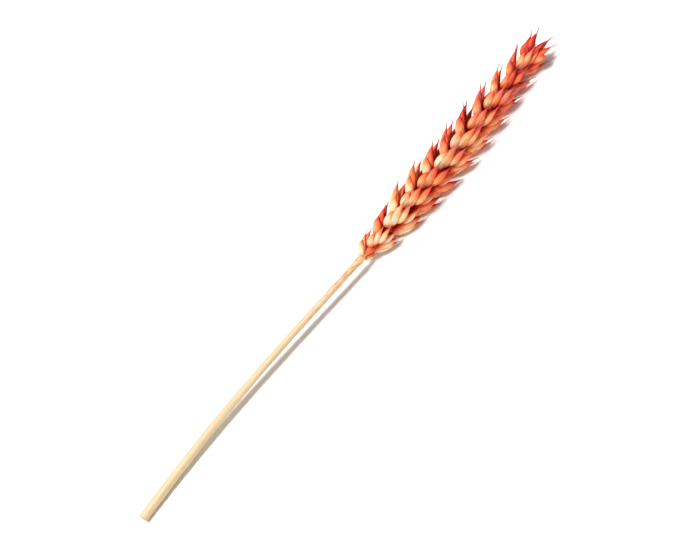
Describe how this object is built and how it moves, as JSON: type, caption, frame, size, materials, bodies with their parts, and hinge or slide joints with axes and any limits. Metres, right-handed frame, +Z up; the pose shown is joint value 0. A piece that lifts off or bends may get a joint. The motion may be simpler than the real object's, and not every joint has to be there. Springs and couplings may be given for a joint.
{
  "type": "wheat ear",
  "caption": "Dried wheat ear dyed coral, with ranks of husked spikelets on a jointed axis, on its cut hollow straw, lying on a surface.",
  "frame": {"origin": "on the surface that the part lies on, under the middle of its bounding box", "axes": "+X along the stalk from the cut end to the tip of the ear, +Z up from the surface"},
  "size_m": [0.2086, 0.014, 0.0128],
  "materials": {
    "ear": "dry papery husk dyed coral orange, cream at the base of each scale, darker red in the folds, maroon at the points, matt with a faint satin",
    "straw": "dry cream straw with fine lengthwise ridges and satin gloss, flushed with coral dye under the ear"
  },
  "bodies": {
    "root": {"ear": "ear", "straw": "straw"}
  },
  "joints": []
}
